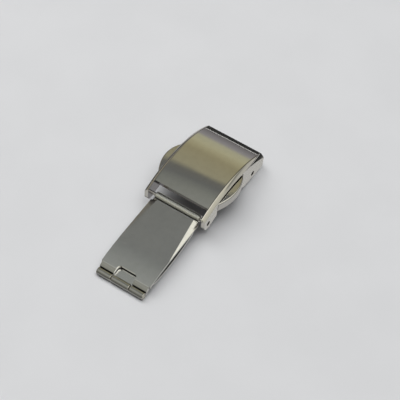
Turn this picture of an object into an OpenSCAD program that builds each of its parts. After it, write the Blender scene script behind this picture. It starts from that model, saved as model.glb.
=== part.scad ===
// Fold-over bracelet clasp with two push buttons, shown opened out.
// An arched cover stands at +X, the middle blade reaches to -X from the front hinge,
// and the inner blade lies folded under the middle blade.
// Millimetres, +Z up. The origin lies on the table, at the middle of the opened clasp.

/* [Cover] */
// Width of the cover over both side walls
cover_w = 14; // [13:0.5:18]
// Radius of the arched top, measured outside
arch_r = 28.4; // [26:0.2:34]
// Height of the crown above the line of the front hinge
crown_h = 4.6; // [4.4:0.1:5.2]
// Distance from the front hinge to the crown
crown_x = 9.3; // [8.9:0.1:9.9]
// Thickness of the arched top
plate_t = 0.85; // [0.7:0.05:0.95]
// Thickness of each side wall
wall_t = 0.8; // [0.6:0.05:1]
// Distance from the front hinge to the front edge of the top
front_edge_x = 0.7; // [0.6:0.05:0.9]
// Distance from the front hinge to the rear edge of the cover
rear_edge_x = 20.6; // [20.2:0.1:22]
// Width of the bevel between the top and each side wall, at the crown
bevel_w = 0.8; // [0.3:0.05:1]
// Height of the bevel between the top and each side wall, at the crown
bevel_h = 0.65; // [0.4:0.05:0.8]
// Radius of the bevel's own arch, tighter than the top's, so the bevel widens to both ends
bevel_r = 25; // [24:0.5:28]
// Height of the thin wall left between the bevel and the opening over each button
rim_h = 0.1; // [0.05:0.05:0.3]
// Reach of the front lugs ahead of the hinge
lug_reach = 1.9; // [1.6:0.1:2.4]
// Radius of the rounded end of each front lug
lug_r = 1.4; // [1.2:0.05:1.45]
// Distance from the front hinge to the bracelet hole in the rear lobes
strap_hole_x = 16.5; // [16:0.1:17.4]
// Diameter of the bracelet hole in the rear lobes
strap_hole_d = 1.1; // [0.8:0.1:1.4]
// Depth of the rear lobes below the hinge line
lobe_drop = 1.3; // [1.1:0.1:1.6]

/* [Buttons] */
// Distance from the front hinge to the middle of the buttons
button_x = 7.7; // [7.6:0.1:8]
// Length of the opening for each button along the wall
button_gap_l = 9.2; // [9:0.1:9.6]
// How far each button stands out of the wall
button_out = 1.4; // [1.1:0.1:1.6]
// Height of the button's rim
button_h = 1.6; // [1.4:0.05:1.65]
// Depth of the button's top below the cover's top
button_drop = 1.4; // [1.3:0.05:1.5]
// How far each button travels inwards
button_travel = 0.7; // [0.5:0.05:0.75]

/* [Blades] */
// Height of the front hinge above the table
hinge_h = 3.3; // [3:0.05:3.6]
// Distance between the two hinges along the middle blade
blade_l = 19.7; // [19.4:0.1:21]
// Thickness of the blades
sheet_t = 0.5; // [0.4:0.05:0.55]
// Width of the middle blade
middle_w = 11.1; // [10.6:0.1:12]
// Width of the bevel along the middle blade's edges
edge_bevel = 0.7; // [0.2:0.05:0.9]
// Width of the inner blade
inner_w = 10.8; // [10.2:0.1:11.6]
// Radius of the inner blade's bow, measured outside
bow_r = 28; // [26:0.5:31]
// Depth of the inner blade's bow below the line of hinges
bow_drop = 1.63; // [1.5:0.01:1.64]
// Length of the catch window in the inner blade
window_l = 4; // [3.8:0.1:4.1]
// Width of the catch window in the inner blade
window_w = 5.2; // [5:0.1:5.3]

/* [Hinges] */
// Diameter of both hinge pins
pin_d = 0.7; // [0.5:0.05:0.8]
// Outside diameter of the rolled hinge barrels
barrel_d = 1.5; // [1.3:0.05:1.55]
// Length of the front barrel
front_barrel_l = 10.3; // [9.6:0.1:10.8]
// Length over the three rear barrels
rear_barrel_l = 10.7; // [10:0.1:11]
// Length of the middle one of the rear barrels
rear_knuckle_l = 4; // [3.4:0.1:4.4]
// Diameter of the hole for the bracelet pin at the inner blade's free end
loop_hole_d = 0.7; // [0.6:0.05:0.8]
// Outside diameter of the loop at the inner blade's free end
loop_d = 1.4; // [1.3:0.02:1.46]
// Length of the loop at the inner blade's free end
loop_l = 8.4; // [7:0.1:9]

/* [Latch] */
// Length of the latch frame along the clasp
frame_l = 8.9; // [8.8:0.1:9.1]
// Width of the latch frame across the clasp
frame_w = 8.8; // [8.4:0.1:8.9]
// Thickness of the latch frame's sheet
frame_t = 0.4; // [0.3:0.05:0.45]
// Height of the frame's underside above the hinge line
frame_z = 2.6; // [2.55:0.02:2.65]
// Length of each latch slide along the clasp
slide_l = 6.2; // [6:0.1:6.4]
// Thickness of each latch slide
slide_t = 0.55; // [0.45:0.05:0.6]
// Distance from the middle plane to the inner end of each slide
slide_in = 1.5; // [1.4:0.05:1.6]
// Length of each hook along the clasp
hook_l = 3; // [2.6:0.1:3.2]
// Thickness of each hook's stem
hook_t = 0.6; // [0.5:0.05:0.65]
// How far each hook's lip reaches under the window's edge
hook_grip = 0.25; // [0.15:0.05:0.3]
// Outside diameter of the button springs
spring_d = 0.8; // [0.7:0.02:0.86]
// Thickness of the springs' wire
wire_d = 0.14; // [0.1:0.01:0.16]
// Number of curls in each spring
spring_curls = 5; // [4:1:6]

/* [Hidden] */

$fn = 64;
// Running clearance of a pin in its barrel
pin_play = 0.05;
// Seat of a pin or rivet that is fixed in its hole
fixed_play = 0.01;
// Clearance between sliding faces
slide_play = 0.15;
// Clearance between the faces of neighbouring barrels
barrel_play = 0.15;
// Overlap that lets cutting bodies pass through a face
cut = 1;

lobe_r = 1.3;
lobe_corner = 0.5;

// Places of the two halves: both feet stand on the table
foot_x = rear_edge_x - lobe_corner;
cover_tilt = asin(hinge_h / norm([foot_x, lobe_drop])) - atan2(lobe_drop, foot_x);
blade_pitch = asin((hinge_h - barrel_d / 2) / blade_l);
front_end = blade_l * cos(blade_pitch) + barrel_d / 2;
rear_end = rear_edge_x * cos(cover_tilt) + arch_top(rear_edge_x) * sin(cover_tilt);
hinge_x = (front_end - rear_end) / 2;

// Height of the arched top above the hinge line at a distance from the front hinge
function arch_top(x) = crown_h - arch_r + sqrt(pow(arch_r, 2) - pow(x - crown_x, 2));

inner_half = cover_w / 2 - wall_t;
wall_depth = crown_h + rear_edge_x / 5;

// Lug, notch and lobe outlines, seen from the side
notch_front = button_x - button_gap_l / 2;
notch_rear = button_x + button_gap_l / 2;
lug_foot_z = -0.35;
side_top = crown_h + cut;
pin_recess_d = strap_hole_d;
pin_recess = 0.3;
pin_end = cover_w / 2 - pin_recess;

// Levels of the latch, above the hinge line
slide_top = frame_z - 0.2;
slide_bottom = slide_top - slide_t;
post_r = 0.5;
rivet_r = 0.3;
rivet_head_r = 0.42;
rivet_head_h = 0.25;
rivet_grip = 0.25;
post_inset = 0.45;
post_y = 2.5;
post_places = [
    for (x = [-1, 1]) for (y = [-1, 1])
        [button_x + x * (frame_l / 2 - post_inset), y * post_y]
];
guide_wall_t = 0.3;
guide_lip_w = 0.4;
guide_lip_t = 0.25;
guide_in = slide_l / 2 + slide_play;
rib_half = 0.3;
spring_x = slide_l / 2 - 0.7;
spring_z = slide_top - slide_t / 2;
spring_slot_w = spring_d + 0.2;
spring_slot_end = 3.6;
spring_play = 0.03;
guide_pin_r = 0.17;
// The guides stay short of the slots' ends when the button is pressed
guide_pin_end = spring_slot_end - button_travel - 0.5;
cap_inner_y = inner_half - 1;
cap_top_r = arch_r - button_drop;
cap_bottom_r = cap_top_r - button_h;
cap_round_r = (pow(button_gap_l / 2, 2) + pow(button_out, 2)) / (2 * button_out);
cap_side = button_gap_l / 2 - slide_play;
stop_side = button_gap_l / 2 + 0.5;
stop_gap = 0.08;
slide_seat_y = inner_half - 0.2;
slide_rivet_x = 2.2;
slide_rivet_y = inner_half - 0.65;
slide_rivet_top = slide_top + 0.28;
hook_out = window_w / 2 - 0.35;
hook_bottom = -0.45;
hook_lip_t = 0.4;

// Blade outlines: distance from the front hinge, height above the line of hinges
plate_start = 0.5;
plate_low = 0.3;
plate_rise = 0.069;
plate_slope = atan(plate_rise);
neck_l = 1.3;
finger_l = 3.2;
plate_end = blade_l - finger_l;
finger_end = blade_l - 0.6;
bow_x = 8.3;
inner_start = 3;
inner_end = blade_l - finger_l;
tongue_start = inner_end - 1;
tongue_end = blade_l - 0.3;
tongue_low = -0.5;
loop_u = -0.5;
loop_v = -1.7;
crank_u = inner_start + 0.2;
window_x = button_x;

function plate_top(u) = plate_low + (u - 1) * plate_rise;
function bow_low(u) = bow_r - bow_drop - sqrt(pow(bow_r, 2) - pow(u - bow_x, 2));

// Tangent from the end of the bow to the underside of the loop
loop_reach = [crank_u - loop_u, bow_low(crank_u) - loop_v];
tangent_angle = 180 + atan2(loop_reach.y, loop_reach.x) + asin(loop_d / 2 / norm(loop_reach));
tangent_l = sqrt(pow(norm(loop_reach), 2) - pow(loop_d / 2, 2));

// Places a body that is drawn about the front hinge in the cover's own frame
module in_cover() {
    translate([hinge_x, 0, hinge_h])
        rotate([0, cover_tilt, 0])
            children();
}

// Places a body that is drawn about the front hinge with the line of hinges level
module in_blades() {
    translate([hinge_x, 0, hinge_h])
        rotate([0, -blade_pitch, 0])
            children();
}

// Extrudes a side view across the clasp, centred on the middle plane
module across(w) {
    rotate([90, 0, 0])
        translate([0, 0, -w / 2])
            linear_extrude(w)
                children();
}

// Extrudes a side view between two distances from the middle plane
module across_between(y0, y1) {
    translate([0, (y0 + y1) / 2, 0])
        across(abs(y1 - y0))
            children();
}

module cross_rod(x, z, d, l) {
    translate([x, 0, z])
        rotate([90, 0, 0])
            cylinder(d = d, h = l, center = true);
}

module upright(x, y, z0, z1, r) {
    translate([x, y, z0])
        cylinder(r = r, h = z1 - z0);
}

module block(low, high) {
    translate(low)
        cube(high - low);
}

// Turns a section (radius, distance across) about an axis under the crown
module arched(section, r = arch_r) {
    translate([crown_x, 0, crown_h - r])
        rotate([90, 0, 0])
            rotate_extrude(angle = 70, start = 55, $fn = 360)
                polygon(section);
}

// Cover

function channel_section(depth) = [
    [arch_r, -cover_w / 2],
    [arch_r, cover_w / 2],
    [arch_r - depth, cover_w / 2],
    [arch_r - depth, inner_half],
    [arch_r - plate_t, inner_half],
    [arch_r - plate_t, -inner_half],
    [arch_r - depth, -inner_half],
    [arch_r - depth, -cover_w / 2]
];

// Roof with two slopes, whose parts outside the channel's width make the bevels
function bevel_section(depth) = [
    [bevel_r - depth, -cover_w / 2 - cut],
    [bevel_r - bevel_h - cut * bevel_h / bevel_w, -cover_w / 2 - cut],
    [bevel_r - bevel_h + cover_w / 2 * bevel_h / bevel_w, 0],
    [bevel_r - bevel_h - cut * bevel_h / bevel_w, cover_w / 2 + cut],
    [bevel_r - depth, cover_w / 2 + cut]
];

module side_view() {
    union() {
        circle(r = lug_r);
        polygon([
            [-lug_reach, side_top],
            [-lug_r, 0],
            [0.3 * lug_r, -0.95 * lug_r],
            [notch_front, lug_foot_z],
            [notch_front, side_top]
        ]);
        translate([notch_rear + lobe_r, 0])
            circle(r = lobe_r);
        polygon([
            [notch_rear, side_top],
            [notch_rear, lobe_r - lobe_drop],
            [notch_rear + lobe_r, lobe_r - lobe_drop],
            [notch_rear + lobe_r, -lobe_drop],
            [rear_edge_x - lobe_corner, -lobe_drop],
            [rear_edge_x, lobe_corner - lobe_drop],
            [rear_edge_x, side_top]
        ]);
        polygon([
            [notch_front - cut, 0],
            [notch_rear + cut, 0],
            [notch_rear + cut, side_top],
            [notch_front - cut, side_top]
        ]);
    }
}

module folded_channel() {
    difference() {
        union() {
            intersection() {
                arched(channel_section(wall_depth));
                arched(bevel_section(wall_depth), bevel_r);
                across(cover_w + cut)
                    side_view();
            }
            for (p = post_places)
                upright(p.x, p.y, frame_z + frame_t, arch_top(p.x) - plate_t / 2, post_r);
        }
        // Openings for the buttons
        intersection() {
            translate([crown_x, 0, crown_h - bevel_r])
                rotate([90, 0, 0])
                    cylinder(r = bevel_r - bevel_h - rim_h, h = cover_w + 2 * cut, center = true, $fn = 360);
            block(
                [notch_front, -cover_w / 2 - cut, -lobe_drop - cut],
                [notch_rear, cover_w / 2 + cut, side_top]
            );
            difference() {
                block([0, -cover_w, -cover_w], [rear_edge_x, cover_w, cover_w]);
                block(
                    [-cut, -inner_half, -2 * cover_w],
                    [rear_edge_x + cut, inner_half, 2 * cover_w]
                );
            }
        }
        // Slot between the front lugs
        block([-lug_reach - cut, -inner_half, -lug_r - cut], [front_edge_x, inner_half, side_top]);
        // Hinge pin seats, with a wider mouth outside
        cross_rod(0, 0, pin_d + 2 * fixed_play, cover_w + cut);
        for (s = [-1, 1])
            translate([0, s * (pin_end + cut / 2), 0])
                cross_rod(0, 0, pin_recess_d, cut);
        // Bracelet holes
        cross_rod(strap_hole_x, 0, strap_hole_d, cover_w + cut);
        // Rivet holes
        for (p = post_places)
            upright(p.x, p.y, frame_z, frame_z + frame_t + rivet_grip, rivet_r + fixed_play);
    }
}

// The roof sits between the two side walls
module cover_shell() {
    color("lightgray")
        in_cover() {
            intersection() {
                folded_channel();
                across(2 * (inner_half - fixed_play))
                    square(4 * rear_edge_x, center = true);
            }
            for (s = [-1, 1])
                intersection() {
                    folded_channel();
                    across_between(s * inner_half, s * (inner_half + 2 * wall_t))
                        square(4 * rear_edge_x, center = true);
                }
        }
}

// Latch frame

module latch_frame() {
    color("darkgray")
        in_cover()
            difference() {
                union() {
                    block(
                        [button_x - frame_l / 2, -frame_w / 2, frame_z],
                        [button_x + frame_l / 2, frame_w / 2, frame_z + frame_t]
                    );
                    // Guide walls with lips that carry the slides
                    for (s = [0, 1])
                        translate([button_x, 0, 0])
                            mirror([s, 0, 0]) {
                                block(
                                    [guide_in, -frame_w / 2, slide_bottom - slide_play - guide_lip_t],
                                    [guide_in + guide_wall_t, frame_w / 2, frame_z]
                                );
                                block(
                                    [guide_in - guide_lip_w, -frame_w / 2, slide_bottom - slide_play - guide_lip_t],
                                    [guide_in, frame_w / 2, slide_bottom - slide_play]
                                );
                            }
                    // Rib that seats the springs
                    block(
                        [button_x - slide_l / 2, -rib_half, slide_bottom - slide_play],
                        [button_x + slide_l / 2, rib_half, frame_z]
                    );
                }
                for (p = post_places)
                    upright(p.x, p.y, frame_z - cut, frame_z + frame_t + cut, rivet_r + fixed_play);
                for (s = [-1, 1])
                    cross_rod(button_x + s * spring_x, spring_z, 2 * (guide_pin_r + fixed_play), 4 * rib_half);
            }
}

module frame_rivets() {
    color("silver")
        in_cover()
            for (p = post_places) {
                upright(p.x, p.y, frame_z - rivet_head_h, frame_z, rivet_head_r);
                upright(p.x, p.y, frame_z, frame_z + frame_t + rivet_grip - fixed_play, rivet_r);
            }
}

// Buttons: drawn on the left (+Y) side and mirrored for the right

module button_plan() {
    intersection() {
        translate([button_x, cover_w / 2 + button_out - cap_round_r])
            circle(r = cap_round_r, $fn = 180);
        translate([button_x - cap_side, cap_inner_y])
            square([2 * cap_side, cover_w]);
    }
    translate([button_x - stop_side, cap_inner_y])
        square([2 * stop_side, inner_half - stop_gap - cap_inner_y]);
}

module button_cap() {
    difference() {
        intersection() {
            arched([
                [cap_bottom_r, cap_inner_y - cover_w - cut],
                [cap_bottom_r, cover_w],
                [cap_top_r, cover_w],
                [cap_top_r, cap_inner_y - cover_w - cut]
            ]);
            translate([0, 0, -cut])
                linear_extrude(crown_h + 2 * cut)
                    button_plan();
        }
        // Seat of the latch slide
        block(
            [button_x - slide_l / 2 - fixed_play, cap_inner_y - cut, -cut],
            [button_x + slide_l / 2 + fixed_play, slide_seat_y + fixed_play, slide_top + fixed_play]
        );
        for (s = [-1, 1])
            upright(button_x + s * slide_rivet_x, slide_rivet_y, slide_top - cut, slide_rivet_top + fixed_play,
                rivet_r + fixed_play);
    }
}

module latch_slide() {
    difference() {
        union() {
            block(
                [button_x - slide_l / 2, slide_in, slide_bottom],
                [button_x + slide_l / 2, slide_seat_y, slide_top]
            );
            block(
                [button_x - hook_l / 2, hook_out - hook_t, hook_bottom],
                [button_x + hook_l / 2, hook_out, slide_bottom]
            );
            block(
                [button_x - hook_l / 2, hook_out, hook_bottom],
                [button_x + hook_l / 2, window_w / 2 + hook_grip, hook_bottom + hook_lip_t]
            );
        }
        for (s = [-1, 1]) {
            block(
                [button_x + s * spring_x - spring_slot_w / 2, slide_in - cut, slide_bottom - cut],
                [button_x + s * spring_x + spring_slot_w / 2, spring_slot_end, slide_top + cut]
            );
            upright(button_x + s * slide_rivet_x, slide_rivet_y, slide_bottom - cut, slide_top + cut,
                rivet_r + fixed_play);
        }
    }
}

module slide_rivets() {
    for (s = [-1, 1]) {
        upright(button_x + s * slide_rivet_x, slide_rivet_y, slide_bottom - rivet_head_h, slide_bottom,
            rivet_head_r);
        upright(button_x + s * slide_rivet_x, slide_rivet_y, slide_bottom, slide_rivet_top, rivet_r);
    }
}

module spring_guides() {
    for (s = [-1, 1])
        translate([button_x + s * spring_x, 0, spring_z])
            rotate([-90, 0, 0])
                cylinder(r = guide_pin_r, h = guide_pin_end, $fn = 24);
}

// Springs

wire_sides = 6;
curl_rings = 8;
spring_low = rib_half + spring_play + wire_d / 2;
spring_high = spring_slot_end - spring_play - wire_d / 2;
spring_rise = (spring_high - spring_low) / spring_curls;
coil_r = (spring_d - wire_d) / 2;
ring_count = spring_curls * curl_rings;

// Point on a ring of the wire; the wire's sides stand in planes through the coil's axis
function wire_point(ring, side) =
    let (turn = 360 * ring / curl_rings)
    let (around = 360 * side / wire_sides)
    let (radius = coil_r + wire_d / 2 * cos(around))
    [
        radius * cos(turn),
        spring_low + spring_rise * ring / curl_rings + wire_d / 2 * sin(around),
        radius * sin(turn)
    ];

spring_points = [
    for (ring = [0 : ring_count]) for (side = [0 : wire_sides - 1])
        wire_point(ring, side)
];
spring_skin = [
    for (ring = [0 : ring_count - 1]) for (side = [0 : wire_sides - 1])
        let (a = ring * wire_sides + side)
        let (b = ring * wire_sides + (side + 1) % wire_sides)
        for (face = [[a, b, a + wire_sides], [b, b + wire_sides, a + wire_sides]])
            face
];
spring_ends = concat(
    [for (side = [1 : wire_sides - 2]) [0, side + 1, side]],
    [
        for (side = [1 : wire_sides - 2])
            let (base = ring_count * wire_sides)
            [base, base + side, base + side + 1]
    ]
);
echo("least gap between curls", spring_rise - wire_d);

module spring(s) {
    translate([button_x + s * spring_x, 0, spring_z])
        polyhedron(spring_points, concat(spring_skin, spring_ends));
}

// Blades: drawn with the distance from the front hinge along -X

module middle_plate_section() {
    half = middle_w / 2;
    polygon([
        [-half, 0],
        [half, 0],
        [half, 0.4 * sheet_t],
        [half - edge_bevel, sheet_t],
        [edge_bevel - half, sheet_t],
        [-half, 0.4 * sheet_t]
    ]);
}

// Sheet along the line of hinges, with its bevelled edges
module middle_plate() {
    start = neck_l;
    length = (plate_end - start) / cos(plate_slope);
    translate([-start, 0, plate_top(start) - sheet_t / cos(plate_slope)])
        rotate([0, plate_slope, 0])
            rotate([90, 0, -90])
                linear_extrude(length)
                    middle_plate_section();
}

module middle_blade() {
    color("dimgray")
        in_blades()
            difference() {
                union() {
                    cross_rod(0, 0, barrel_d, front_barrel_l);
                    across(front_barrel_l)
                        polygon([
                            [-plate_start, plate_top(plate_start)],
                            [-neck_l - 0.2, plate_top(neck_l + 0.2)],
                            [-neck_l - 0.2, plate_top(neck_l + 0.2) - sheet_t],
                            [-plate_start, plate_top(plate_start) - sheet_t]
                        ]);
                    middle_plate();
                    for (s = [-1, 1])
                        across_between(s * (rear_knuckle_l / 2 + barrel_play), s * rear_barrel_l / 2)
                            union() {
                                translate([-blade_l, 0])
                                    circle(d = barrel_d);
                                polygon([
                                    [0.3 - plate_end, plate_top(plate_end - 0.3)],
                                    [-plate_end - 0.3, plate_top(plate_end) - 0.15],
                                    [-finger_end, 0.25],
                                    [-finger_end, 0.25 - 1.35 * sheet_t],
                                    [-plate_end, plate_top(plate_end) - 1.3 * sheet_t],
                                    [0.3 - plate_end, plate_top(plate_end - 0.3) - sheet_t]
                                ]);
                            }
                }
                cross_rod(0, 0, pin_d + 2 * pin_play, cover_w);
                cross_rod(-blade_l, 0, pin_d + 2 * fixed_play, cover_w);
                // Room for the knuckle of the inner blade
                block(
                    [-blade_l - barrel_d, -rear_knuckle_l / 2 - barrel_play, -barrel_d],
                    [-plate_end, rear_knuckle_l / 2 + barrel_play, barrel_d]
                );
            }
}

module bowed_sheet(w, u0, u1) {
    intersection() {
        translate([-bow_x, 0, bow_r - bow_drop])
            rotate([90, 0, 0])
                difference() {
                    cylinder(r = bow_r, h = w, center = true, $fn = 360);
                    cylinder(r = bow_r - sheet_t, h = w + cut, center = true, $fn = 360);
                }
        block([-u1, -w, -2 * bow_drop], [-u0, w, bow_drop]);
    }
}

module inner_blade() {
    color("gray")
        in_blades()
            difference() {
                union() {
                    bowed_sheet(inner_w, inner_start, inner_end);
                    across(rear_knuckle_l)
                        polygon([
                            [-tongue_start, bow_low(tongue_start)],
                            [-inner_end, bow_low(inner_end)],
                            [-tongue_end, tongue_low],
                            [-tongue_end, tongue_low + sheet_t],
                            [-inner_end, bow_low(inner_end) + sheet_t],
                            [-tongue_start, bow_low(tongue_start) + sheet_t]
                        ]);
                    cross_rod(-blade_l, 0, barrel_d, rear_knuckle_l);
                    // Cranked end and loop for the bracelet pin
                    cross_rod(-loop_u, loop_v, loop_d, loop_l);
                    across(loop_l)
                        translate([-crank_u, bow_low(crank_u)])
                            rotate(180 - tangent_angle)
                                square([tangent_l, sheet_t]);
                }
                cross_rod(-blade_l, 0, pin_d + 2 * pin_play, cover_w);
                cross_rod(-loop_u, loop_v, loop_hole_d, cover_w);
                block(
                    [-window_x - window_l / 2, -window_w / 2, -2 * bow_drop],
                    [-window_x + window_l / 2, window_w / 2, bow_drop]
                );
            }
}

module front_hinge_pin() {
    color("gainsboro")
        in_cover()
            cross_rod(0, 0, pin_d, 2 * pin_end - 2 * fixed_play);
}

module rear_hinge_pin() {
    color("gainsboro")
        in_blades()
            cross_rod(-blade_l, 0, pin_d, rear_barrel_l - 0.2);
}

module left_side() {
    in_cover()
        children();
}

module right_side() {
    in_cover()
        mirror([0, 1, 0])
            children();
}

module left_button_cap() { color("silver") left_side() button_cap(); }
module right_button_cap() { color("silver") right_side() button_cap(); }
module left_latch_slide() { color("slategray") left_side() latch_slide(); }
module right_latch_slide() { color("slategray") right_side() latch_slide(); }
module left_slide_rivets() { color("white") left_side() slide_rivets(); }
module right_slide_rivets() { color("white") right_side() slide_rivets(); }
module left_front_spring() { color("goldenrod") left_side() spring(-1); }
module left_rear_spring() { color("goldenrod") left_side() spring(1); }
module right_front_spring() { color("goldenrod") right_side() spring(-1); }
module right_rear_spring() { color("goldenrod") right_side() spring(1); }
module left_spring_guides() { color("whitesmoke") left_side() spring_guides(); }
module right_spring_guides() { color("whitesmoke") right_side() spring_guides(); }

cover_shell();
latch_frame();
frame_rivets();
left_button_cap();
right_button_cap();
left_latch_slide();
right_latch_slide();
left_slide_rivets();
right_slide_rivets();
left_front_spring();
left_rear_spring();
right_front_spring();
right_rear_spring();
left_spring_guides();
right_spring_guides();
front_hinge_pin();
middle_blade();
rear_hinge_pin();
inner_blade();
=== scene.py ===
"""Fold-over bracelet clasp with two push buttons, opened out: the dressed model.

Every piece is drawn in millimetres about the front hinge, the cover and its buttons level with the
cover, the blades level with the line of hinges. It is then put in its place in the frame, in metres.
"""

import logging
import math
from collections.abc import Callable, Sequence
from dataclasses import dataclass, field
from enum import Enum
from functools import cache

import bmesh
import bpy
from mathutils import Matrix, Vector


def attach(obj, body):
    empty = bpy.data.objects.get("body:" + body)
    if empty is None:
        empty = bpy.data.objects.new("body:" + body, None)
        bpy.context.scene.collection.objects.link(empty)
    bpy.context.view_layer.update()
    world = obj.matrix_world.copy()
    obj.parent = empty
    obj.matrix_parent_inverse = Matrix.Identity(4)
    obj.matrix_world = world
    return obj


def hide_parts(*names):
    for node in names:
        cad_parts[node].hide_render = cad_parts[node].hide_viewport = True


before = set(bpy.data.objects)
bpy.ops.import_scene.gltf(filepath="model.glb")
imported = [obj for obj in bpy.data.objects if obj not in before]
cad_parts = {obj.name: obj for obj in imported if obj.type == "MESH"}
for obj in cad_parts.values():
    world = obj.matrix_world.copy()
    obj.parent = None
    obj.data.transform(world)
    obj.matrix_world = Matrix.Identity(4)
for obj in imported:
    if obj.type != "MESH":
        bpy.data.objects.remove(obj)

Piece = bpy.types.Object
Point = tuple[float, float]
Triple = tuple[float, float, float]
Turn = tuple[float, float, int]
FaceTest = Callable[[Vector, Vector], bool]
EdgeTest = Callable[[Vector, list[Vector]], bool]

LOG = logging.getLogger("clasp")
MM = 0.001
SIDES = (1, -1)
HINGE_X = -0.218979

# How near a plane a face's middle lies to belong to it, and how far a normal leans to face that way.
HAIR, NEAR, CLOSE = 0.01, 0.02, 0.05
FACING, LEANING = 0.9, 0.4

# How many steps draw a rounding, a small arc and a long curve.
ROUND, ARC, LONG = 4, 8, 16

# The front hinge, from which every piece is drawn.
HINGE = (0.0, 0.0, 0.0)


class Axis(Enum):
    """Direction of a rod, of an extrusion or of brushed lines."""

    ALONG = "X"
    ACROSS = "Y"
    UP = "Z"


class Level(Enum):
    """Which line a piece is drawn level with."""

    COVER = "cover"
    BLADES = "blades"


class Weld(Enum):
    """What a tool does to a piece."""

    CUT = "DIFFERENCE"
    JOIN = "UNION"
    TRIM = "INTERSECT"


class Part(Enum):
    """What is selected in a mesh."""

    FACE = "faces"
    EDGE = "edges"


# Drawing


def spread(low: float, high: float, count: int) -> list[float]:
    """Evenly spaced numbers from low to high."""
    return [low + (high - low) * i / (count - 1) for i in range(count)]


def arc(centre: Point, r: float, start: float, end: float, steps: int) -> list[Point]:
    """Points on an arc about a centre, from one angle to another, in degrees."""
    angles = [math.radians(a) for a in spread(start, end, steps + 1)]
    return [(centre[0] + r * math.cos(a), centre[1] + r * math.sin(a)) for a in angles]


def curve(a: Point, b: Point, c: Point, d: Point, steps: int) -> list[Point]:
    """Points on a smooth curve with two handles.

    Args:
        a: first point.
        b: first handle.
        c: second handle.
        d: last point.
        steps: number of steps.

    Returns:
        The points in order.
    """
    points = []
    for t in spread(0.0, 1.0, steps + 1):
        w = ((1 - t) ** 3, 3 * t * (1 - t) ** 2, 3 * t * t * (1 - t), t**3)
        points.append(tuple(sum(k * p[i] for k, p in zip(w, (a, b, c, d))) for i in range(2)))
    return points


def shift(point: Point, offset: Point) -> Point:
    """A point moved by an offset."""
    return point[0] + offset[0], point[1] + offset[1]


def grey(level: float) -> Triple:
    """A neutral colour."""
    return level, level, level


# Shader building


class Value:
    """A shader socket, or a number, that can be used in arithmetic."""

    def __init__(self, graph: "Graph", source: object) -> None:
        """Keeps the graph and the socket or number."""
        self.graph = graph
        self.source = source

    def _join(self, operation: str, first: object, second: object = 0.0) -> "Value":
        """Result of a Math node."""
        return self.graph.add("ShaderNodeMath", {"operation": operation}, {0: first, 1: second})

    def __add__(self, other: object) -> "Value":
        """Sum."""
        return self._join("ADD", self, other)

    def __radd__(self, other: object) -> "Value":
        """Sum with a number first."""
        return self._join("ADD", other, self)

    def __sub__(self, other: object) -> "Value":
        """Difference."""
        return self._join("SUBTRACT", self, other)

    def __rsub__(self, other: object) -> "Value":
        """Difference from a number."""
        return self._join("SUBTRACT", other, self)

    def __mul__(self, other: object) -> "Value":
        """Product."""
        return self._join("MULTIPLY", self, other)

    def __rmul__(self, other: object) -> "Value":
        """Product with a number first."""
        return self._join("MULTIPLY", other, self)

    def __neg__(self) -> "Value":
        """The same with the other sign."""
        return self._join("SUBTRACT", 0.0, self)

    def __abs__(self) -> "Value":
        """The same without its sign."""
        return self._join("ABSOLUTE", self)

    def smooth(self, low: float, high: float) -> "Value":
        """Rises smoothly from 0 at low to 1 at high."""
        return self.graph.add(
            "ShaderNodeMapRange",
            {"interpolation_type": "SMOOTHSTEP"},
            {"Value": self, "From Min": low, "From Max": high, "To Min": 0.0, "To Max": 1.0},
        )


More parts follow.
